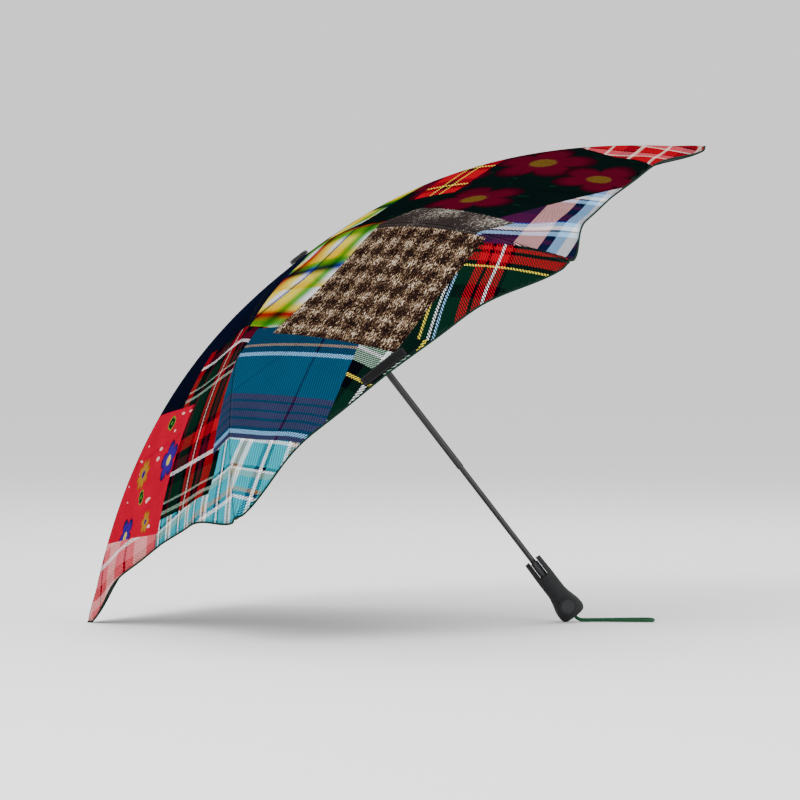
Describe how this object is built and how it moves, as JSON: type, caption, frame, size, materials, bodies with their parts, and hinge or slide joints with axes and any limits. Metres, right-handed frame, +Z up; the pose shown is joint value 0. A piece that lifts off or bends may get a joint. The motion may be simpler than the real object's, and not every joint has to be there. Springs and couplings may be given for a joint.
{
  "type": "folding umbrella",
  "caption": "Open automatic folding umbrella laid on its side, with scalloped patchwork canopy, three-section ribs, telescoping shaft and short flared handle with wrist loop.",
  "frame": {"origin": "middle of the straight part of the grip, on the shaft axis; the umbrella is laid down so that its lowest rib tip and the end of its handle are level", "axes": "+Z up; the shaft leans 37.6 degrees from +Z towards -X, so its crown is up and to -X; the release button and the hem tie face -Y"},
  "size_m": [0.7618, 0.8342, 0.5925],
  "materials": {
    "canopy_cloth": "patchwork printed pongee",
    "rib_black": "satin black",
    "grip_rubber": "soft-touch matte",
    "moulded_black": "satin moulded",
    "collar_grey": "satin",
    "spring_steel": "plain",
    "shaft_black": "gloss black",
    "cord_green": "braided",
    "button_black": "fine matte",
    "tie_webbing": "woven"
  },
  "bodies": {
    "handle": {"grip_shell": "grip_rubber", "handle_core": "moulded_black", "shaft_collar": "collar_grey", "cord_anchor": "moulded_black", "button_leaf": "spring_steel", "lower_tube": "shaft_black", "drive_rod": "spring_steel", "wrist_cord": "cord_green"},
    "button": {"release_button": "button_black"},
    "shaft": {"upper_tube": "shaft_black", "crown_hub": "moulded_black", "crown_pins": "spring_steel", "crown_cap": "moulded_black"},
    "runner": {"runner": "moulded_black"},
    "inner_0": {"rib_inner_0": "rib_black", "canopy_inner_0": "canopy_cloth"},
    "middle_0": {"rib_middle_0": "rib_black", "canopy_middle_0": "canopy_cloth"},
    "outer_0": {"rib_outer_0": "rib_black", "canopy_outer_0": "canopy_cloth"},
    "brace_0": {"brace_0": "rib_black"},
    "inner_1": {"rib_inner_1": "rib_black", "canopy_inner_1": "canopy_cloth"},
    "middle_1": {"rib_middle_1": "rib_black", "canopy_middle_1": "canopy_cloth"},
    "outer_1": {"rib_outer_1": "rib_black", "canopy_outer_1": "canopy_cloth"},
    "brace_1": {"brace_1": "rib_black"},
    "inner_2": {"rib_inner_2": "rib_black", "canopy_inner_2": "canopy_cloth"},
    "middle_2": {"rib_middle_2": "rib_black", "canopy_middle_2": "canopy_cloth"},
    "outer_2": {"rib_outer_2": "rib_black", "canopy_outer_2": "canopy_cloth"},
    "brace_2": {"brace_2": "rib_black"},
    "inner_3": {"rib_inner_3": "rib_black", "canopy_inner_3": "canopy_cloth"},
    "middle_3": {"rib_middle_3": "rib_black", "canopy_middle_3": "canopy_cloth"},
    "outer_3": {"rib_outer_3": "rib_black", "canopy_outer_3": "canopy_cloth"},
    "brace_3": {"brace_3": "rib_black"},
    "inner_4": {"rib_inner_4": "rib_black", "canopy_inner_4": "canopy_cloth"},
    "middle_4": {"rib_middle_4": "rib_black", "canopy_middle_4": "canopy_cloth"},
    "outer_4": {"rib_outer_4": "rib_black", "canopy_outer_4": "canopy_cloth"},
    "brace_4": {"brace_4": "rib_black"},
    "inner_5": {"rib_inner_5": "rib_black", "canopy_inner_5": "canopy_cloth"},
    "middle_5": {"rib_middle_5": "rib_black", "canopy_middle_5": "canopy_cloth"},
    "outer_5": {"rib_outer_5": "rib_black", "canopy_outer_5": "canopy_cloth", "hem_tie": "tie_webbing"},
    "brace_5": {"brace_5": "rib_black"}
  },
  "joints": [
    {"name": "shaft_slide", "type": "slide", "parent": "handle", "child": "shaft", "axis": [0.6101, 0, -0.7923], "range_m": [0, 0.14]},
    {"name": "button_press", "type": "slide", "parent": "handle", "child": "button", "axis": [0, 1, 0], "range_m": [0, 0.002], "stiffness_N_per_m": 1500, "springref_m": -0.001},
    {"name": "runner_slide", "type": "slide", "parent": "shaft", "child": "runner", "axis": [0.6101, 0, -0.7923], "range_m": [0, 0.13952]},
    {"name": "crown_hinge_0", "type": "hinge", "parent": "shaft", "child": "inner_0", "pos_m": [-0.29706, 0, 0.40541], "axis": [0, 1, 0], "range_deg": [0, 81.25], "deforming": ["canopy_inner_0"]},
    {"name": "inner_knuckle_0", "type": "hinge", "parent": "inner_0", "child": "middle_0", "pos_m": [-0.14212, 0, 0.49594], "axis": [0, 1, 0], "range_deg": [-186.44, 0], "deforming": ["canopy_middle_0"]},
    {"name": "outer_knuckle_0", "type": "hinge", "parent": "middle_0", "child": "outer_0", "pos_m": [-0.00595, 0, 0.5322], "axis": [0, 1, 0], "range_deg": [0, 159.94], "deforming": ["canopy_outer_0"]},
    {"name": "brace_hinge_0", "type": "hinge", "parent": "inner_0", "child": "brace_0", "pos_m": [-0.21357, 0, 0.45762], "axis": [0, 1, 0], "range_deg": [-133.5, 0]},
    {"name": "crown_hinge_1", "type": "hinge", "parent": "shaft", "child": "inner_1", "pos_m": [-0.30181, 0.01039, 0.40175], "axis": [-0.6861, 0.5, -0.5284], "range_deg": [0, 81.25], "deforming": ["canopy_inner_1"]},
    {"name": "inner_knuckle_1", "type": "hinge", "parent": "inner_1", "child": "middle_1", "pos_m": [-0.21738, 0.16454, 0.43798], "axis": [-0.6861, 0.5, -0.5284], "range_deg": [-186.44, 0], "deforming": ["canopy_middle_1"]},
    {"name": "outer_knuckle_1", "type": "hinge", "parent": "middle_1", "child": "outer_1", "pos_m": [-0.13272, 0.27713, 0.43457], "axis": [-0.6861, 0.5, -0.5284], "range_deg": [0, 159.94], "deforming": ["canopy_outer_1"]},
    {"name": "brace_hinge_1", "type": "hinge", "parent": "inner_1", "child": "brace_1", "pos_m": [-0.25715, 0.09526, 0.42406], "axis": [-0.6861, 0.5, -0.5284], "range_deg": [-133.5, 0]},
    {"name": "crown_hinge_2", "type": "hinge", "parent": "shaft", "child": "inner_2", "pos_m": [-0.31132, 0.01039, 0.39443], "axis": [-0.6861, -0.5, -0.5284], "range_deg": [0, 81.25], "deforming": ["canopy_inner_2"]},
    {"name": "inner_knuckle_2", "type": "hinge", "parent": "inner_2", "child": "middle_2", "pos_m": [-0.36792, 0.16454, 0.32205], "axis": [-0.6861, -0.5, -0.5284], "range_deg": [-186.44, 0], "deforming": ["canopy_middle_2"]},
    {"name": "outer_knuckle_2", "type": "hinge", "parent": "middle_2", "child": "outer_2", "pos_m": [-0.38625, 0.27713, 0.23933], "axis": [-0.6861, -0.5, -0.5284], "range_deg": [0, 159.94], "deforming": ["canopy_outer_2"]},
    {"name": "brace_hinge_2", "type": "hinge", "parent": "inner_2", "child": "brace_2", "pos_m": [-0.3443, 0.09526, 0.35694], "axis": [-0.6861, -0.5, -0.5284], "range_deg": [-133.5, 0]},
    {"name": "crown_hinge_3", "type": "hinge", "parent": "shaft", "child": "inner_3", "pos_m": [-0.31608, 0, 0.39076], "axis": [0, -1, 0], "range_deg": [0, 81.25], "deforming": ["canopy_inner_3"]},
    {"name": "inner_knuckle_3", "type": "hinge", "parent": "inner_3", "child": "middle_3", "pos_m": [-0.44319, 0, 0.26409], "axis": [0, -1, 0], "range_deg": [-186.44, 0], "deforming": ["canopy_middle_3"]},
    {"name": "outer_knuckle_3", "type": "hinge", "parent": "middle_3", "child": "outer_3", "pos_m": [-0.51302, 0, 0.1417], "axis": [0, -1, 0], "range_deg": [0, 159.94], "deforming": ["canopy_outer_3"]},
    {"name": "brace_hinge_3", "type": "hinge", "parent": "inner_3", "child": "brace_3", "pos_m": [-0.38788, 0, 0.32339], "axis": [0, -1, 0], "range_deg": [-133.5, 0]},
    {"name": "crown_hinge_4", "type": "hinge", "parent": "shaft", "child": "inner_4", "pos_m": [-0.31132, -0.01039, 0.39443], "axis": [0.6861, -0.5, 0.5284], "range_deg": [0, 81.25], "deforming": ["canopy_inner_4"]},
    {"name": "inner_knuckle_4", "type": "hinge", "parent": "inner_4", "child": "middle_4", "pos_m": [-0.36792, -0.16454, 0.32205], "axis": [0.6861, -0.5, 0.5284], "range_deg": [-186.44, 0], "deforming": ["canopy_middle_4"]},
    {"name": "outer_knuckle_4", "type": "hinge", "parent": "middle_4", "child": "outer_4", "pos_m": [-0.38625, -0.27713, 0.23933], "axis": [0.6861, -0.5, 0.5284], "range_deg": [0, 159.94], "deforming": ["canopy_outer_4"]},
    {"name": "brace_hinge_4", "type": "hinge", "parent": "inner_4", "child": "brace_4", "pos_m": [-0.3443, -0.09526, 0.35694], "axis": [0.6861, -0.5, 0.5284], "range_deg": [-133.5, 0]},
    {"name": "crown_hinge_5", "type": "hinge", "parent": "shaft", "child": "inner_5", "pos_m": [-0.30181, -0.01039, 0.40175], "axis": [0.6861, 0.5, 0.5284], "range_deg": [0, 81.25], "deforming": ["canopy_inner_5"]},
    {"name": "inner_knuckle_5", "type": "hinge", "parent": "inner_5", "child": "middle_5", "pos_m": [-0.21738, -0.16454, 0.43798], "axis": [0.6861, 0.5, 0.5284], "range_deg": [-186.44, 0], "deforming": ["canopy_middle_5"]},
    {"name": "outer_knuckle_5", "type": "hinge", "parent": "middle_5", "child": "outer_5", "pos_m": [-0.13272, -0.27713, 0.43457], "axis": [0.6861, 0.5, 0.5284], "range_deg": [0, 159.94], "deforming": ["canopy_outer_5", "hem_tie"]},
    {"name": "brace_hinge_5", "type": "hinge", "parent": "inner_5", "child": "brace_5", "pos_m": [-0.25715, -0.09526, 0.42406], "axis": [0.6861, 0.5, 0.5284], "range_deg": [-133.5, 0]}
  ],
  "couplings": [
    {"joint": "crown_hinge_0", "follows": "runner_slide", "rad_per_m": 10.158},
    {"joint": "inner_knuckle_0", "follows": "runner_slide", "rad_per_m": -23.317},
    {"joint": "outer_knuckle_0", "follows": "runner_slide", "rad_per_m": 20.003},
    {"joint": "brace_hinge_0", "follows": "runner_slide", "rad_per_m": -16.694},
    {"joint": "crown_hinge_1", "follows": "runner_slide", "rad_per_m": 10.158},
    {"joint": "inner_knuckle_1", "follows": "runner_slide", "rad_per_m": -23.317},
    {"joint": "outer_knuckle_1", "follows": "runner_slide", "rad_per_m": 20.003},
    {"joint": "brace_hinge_1", "follows": "runner_slide", "rad_per_m": -16.694},
    {"joint": "crown_hinge_2", "follows": "runner_slide", "rad_per_m": 10.158},
    {"joint": "inner_knuckle_2", "follows": "runner_slide", "rad_per_m": -23.317},
    {"joint": "outer_knuckle_2", "follows": "runner_slide", "rad_per_m": 20.003},
    {"joint": "brace_hinge_2", "follows": "runner_slide", "rad_per_m": -16.694},
    {"joint": "crown_hinge_3", "follows": "runner_slide", "rad_per_m": 10.158},
    {"joint": "inner_knuckle_3", "follows": "runner_slide", "rad_per_m": -23.317},
    {"joint": "outer_knuckle_3", "follows": "runner_slide", "rad_per_m": 20.003},
    {"joint": "brace_hinge_3", "follows": "runner_slide", "rad_per_m": -16.694},
    {"joint": "crown_hinge_4", "follows": "runner_slide", "rad_per_m": 10.158},
    {"joint": "inner_knuckle_4", "follows": "runner_slide", "rad_per_m": -23.317},
    {"joint": "outer_knuckle_4", "follows": "runner_slide", "rad_per_m": 20.003},
    {"joint": "brace_hinge_4", "follows": "runner_slide", "rad_per_m": -16.694},
    {"joint": "crown_hinge_5", "follows": "runner_slide", "rad_per_m": 10.158},
    {"joint": "inner_knuckle_5", "follows": "runner_slide", "rad_per_m": -23.317},
    {"joint": "outer_knuckle_5", "follows": "runner_slide", "rad_per_m": 20.003},
    {"joint": "brace_hinge_5", "follows": "runner_slide", "rad_per_m": -16.694}
  ]
}
